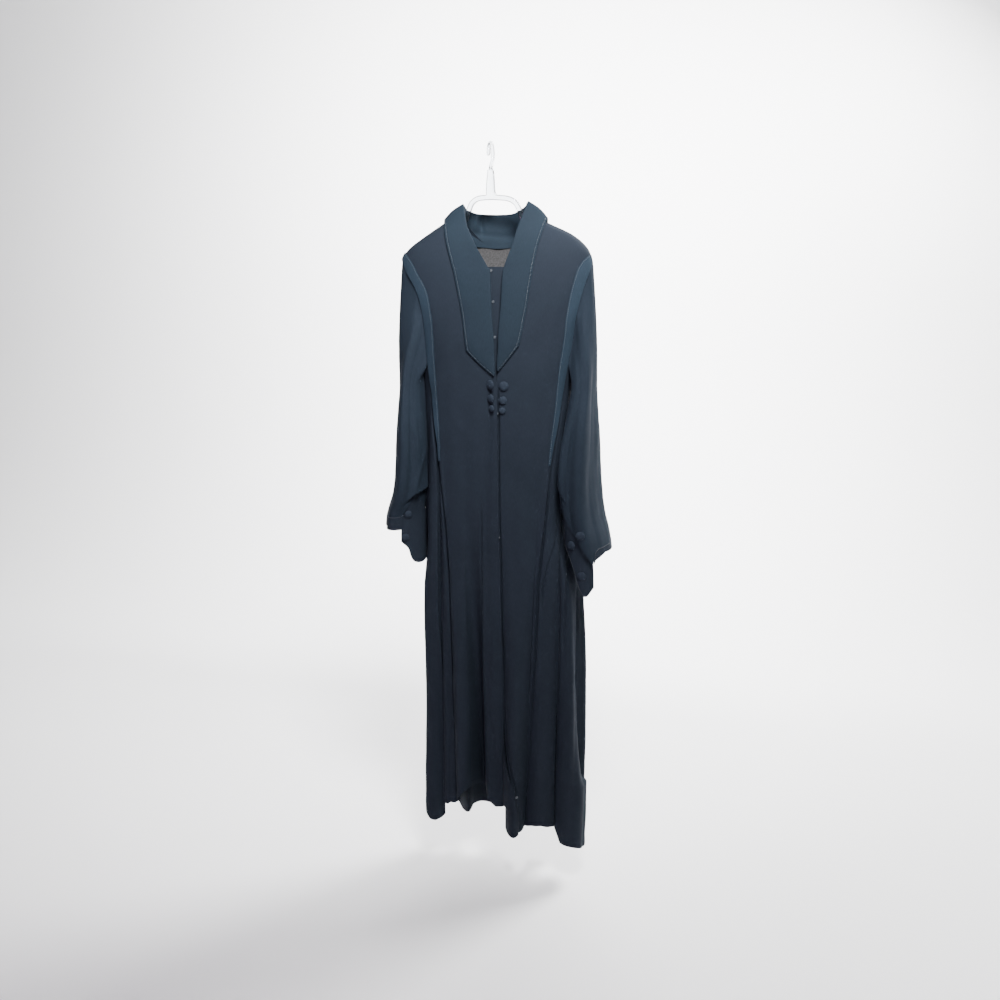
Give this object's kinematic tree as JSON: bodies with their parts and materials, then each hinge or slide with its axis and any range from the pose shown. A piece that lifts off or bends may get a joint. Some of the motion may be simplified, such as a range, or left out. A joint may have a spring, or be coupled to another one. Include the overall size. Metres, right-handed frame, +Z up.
{
  "type": "abaya cloak on a clear hanger",
  "caption": "Full-length open-front abaya cloak with long contrast lapels, armhole bands, slit cuffs and covered buttons, hanging flat on a clear moulded hanger.",
  "frame": {"origin": "the point inside the top of the hanger's hook that rests on a rail", "axes": "+Z up; the wearer's front faces -Y; +X is the wearer's left"},
  "size_m": [0.5299, 0.18, 1.6492],
  "materials": {
    "body_cloth": "fine dark slate-blue crepe, dull, with a faint sheen",
    "button_cloth": "cloth-covered, soft sheen",
    "clear_plastic": "clear glossy moulded plastic",
    "contrast_cloth": "steel-blue satin-back crepe, soft sheen",
    "cuff_cloth": "dark slate-blue crepe, dull",
    "patch_cloth": "grey melange knit, dull",
    "placket_cloth": "dark slate-blue crepe, dull"
  },
  "bodies": {
    "root": {"back": "body_cloth", "band_left": "contrast_cloth", "band_right": "contrast_cloth", "collar_back": "contrast_cloth", "collar_stand": "contrast_cloth", "cuff_button_left_1": "button_cloth", "cuff_button_left_2": "button_cloth", "cuff_button_right_1": "button_cloth", "cuff_button_right_2": "button_cloth", "cuff_button_right_3": "button_cloth", "cuff_flap_left": "cuff_cloth", "cuff_flap_right": "cuff_cloth", "cuff_left": "cuff_cloth", "cuff_right": "cuff_cloth", "front_button_left_1": "button_cloth", "front_button_left_2": "button_cloth", "front_button_left_3": "button_cloth", "front_button_right_1": "button_cloth", "front_button_right_2": "button_cloth", "front_button_right_3": "button_cloth", "front_left": "body_cloth", "front_right": "body_cloth", "hanger": "clear_plastic", "hanger_hook": "clear_plastic", "lapel_left": "contrast_cloth", "lapel_right": "contrast_cloth", "neck_patch": "patch_cloth", "side_left": "body_cloth", "side_right": "body_cloth", "sleeve_left": "body_cloth", "sleeve_right": "body_cloth", "under_placket": "placket_cloth"}
  },
  "joints": []
}
